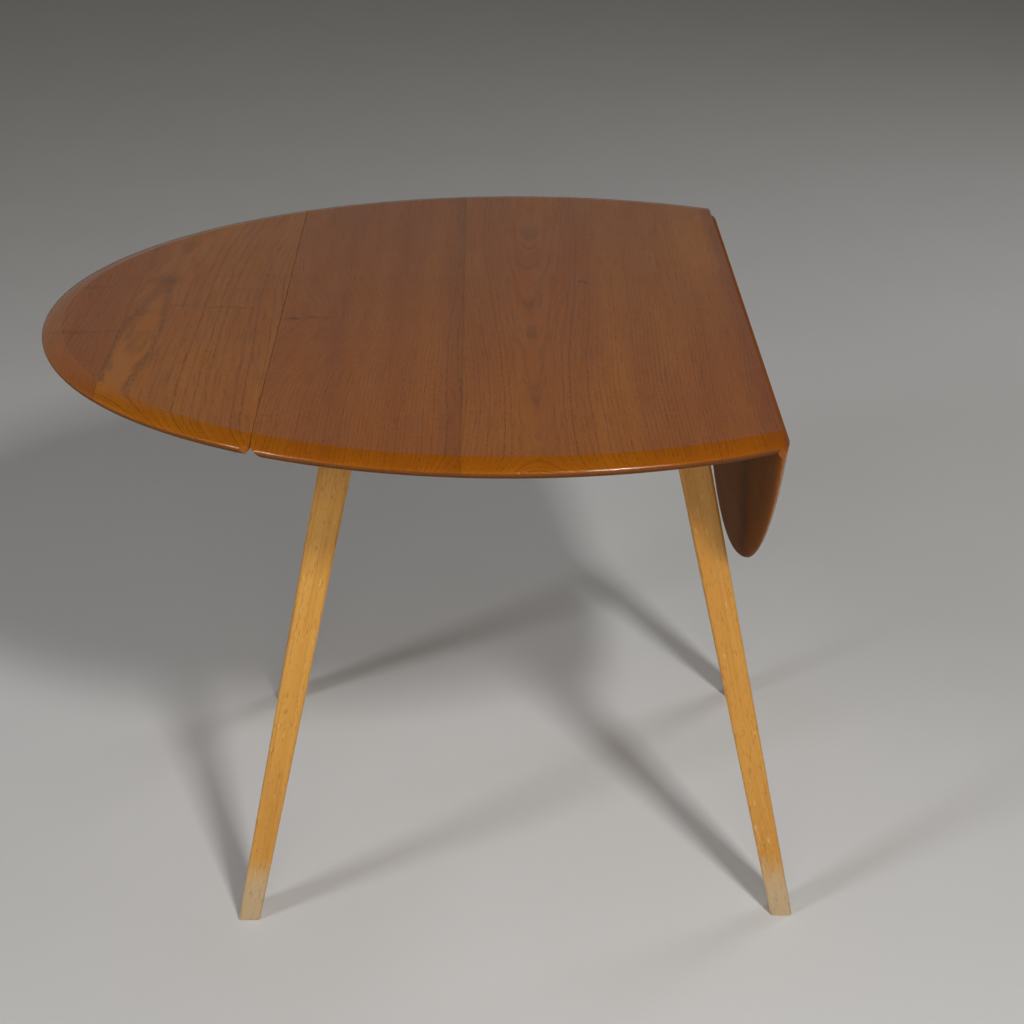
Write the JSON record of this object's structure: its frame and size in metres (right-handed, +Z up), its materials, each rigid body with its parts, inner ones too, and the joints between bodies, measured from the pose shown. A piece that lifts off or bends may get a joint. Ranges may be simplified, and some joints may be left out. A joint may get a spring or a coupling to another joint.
{
  "type": "drop-leaf dining table",
  "caption": "Oval drop-leaf dining table with a solid wood top, two hinged leaves on propping arms, and splayed tapered legs; one leaf raised and one hanging.",
  "frame": {"origin": "middle of the fixed top's upper face", "axes": "+Z up out of the top, +Y along the leaf joints, +X across the leaves towards the leaf that hangs at rest"},
  "size_m": [0.9125, 0.91, 0.715],
  "materials": {
    "elm_top": "satin varnished elm, reddish brown",
    "beech": "satin varnished beech, honey",
    "hinge_brass": "dulled brass",
    "steel": "plain zinc-plated steel"
  },
  "bodies": {
    "frame": {"centre_panel": "elm_top", "front_left_leg": "beech", "front_left_brace": "beech", "front_right_leg": "beech", "front_right_brace": "beech", "back_left_leg": "beech", "back_left_brace": "beech", "back_right_leg": "beech", "back_right_brace": "beech", "front_rail": "beech", "back_rail": "beech", "left_rail": "beech", "right_rail": "beech", "rail_dowels": "beech", "leg_bolts": "steel", "leg_bolt_washers": "steel", "leg_bolt_nuts": "steel", "top_buttons": "beech", "button_screws": "steel", "front_left_hinge_fixed_plate": "hinge_brass", "front_left_hinge_pin": "hinge_brass", "front_right_hinge_fixed_plate": "hinge_brass", "front_right_hinge_pin": "hinge_brass", "back_left_hinge_fixed_plate": "hinge_brass", "back_left_hinge_pin": "hinge_brass", "back_right_hinge_fixed_plate": "hinge_brass", "back_right_hinge_pin": "hinge_brass", "panel_hinge_screws": "steel", "left_prop_block": "beech", "right_prop_block": "beech", "left_prop_pin": "steel", "right_prop_pin": "steel", "prop_block_screws": "steel"},
    "left_leaf": {"left_leaf": "elm_top", "front_left_hinge_leaf_plate": "hinge_brass", "back_left_hinge_leaf_plate": "hinge_brass", "left_leaf_hinge_screws": "steel", "left_arm_stop": "beech", "left_stop_screws": "steel"},
    "right_leaf": {"right_leaf": "elm_top", "front_right_hinge_leaf_plate": "hinge_brass", "back_right_hinge_leaf_plate": "hinge_brass", "right_leaf_hinge_screws": "steel", "right_arm_stop": "beech", "right_stop_screws": "steel"},
    "left_arm": {"left_prop_arm": "beech"},
    "right_arm": {"right_prop_arm": "beech"}
  },
  "joints": [
    {"name": "left_leaf_fold", "type": "hinge", "parent": "frame", "child": "left_leaf", "pos_m": [-0.2765, 0, -0.01], "axis": [0, -1, 0], "range_deg": [0, 90]},
    {"name": "right_leaf_fold", "type": "hinge", "parent": "frame", "child": "right_leaf", "pos_m": [0.2765, 0, -0.01], "axis": [0, -1, 0], "range_deg": [0, 90]},
    {"name": "left_arm_swing", "type": "hinge", "parent": "frame", "child": "left_arm", "pos_m": [-0.243, 0, -0.059], "axis": [0, -1, 0], "range_deg": [0, 104.6]},
    {"name": "right_arm_swing", "type": "hinge", "parent": "frame", "child": "right_arm", "pos_m": [0.243, 0, -0.059], "axis": [0, -1, 0], "range_deg": [0, 104.6]}
  ],
  "couplings": [
    {"joint": "left_arm_swing", "follows": "left_leaf_fold", "ratio": 1.1619},
    {"joint": "right_arm_swing", "follows": "right_leaf_fold", "ratio": 1.1619}
  ]
}
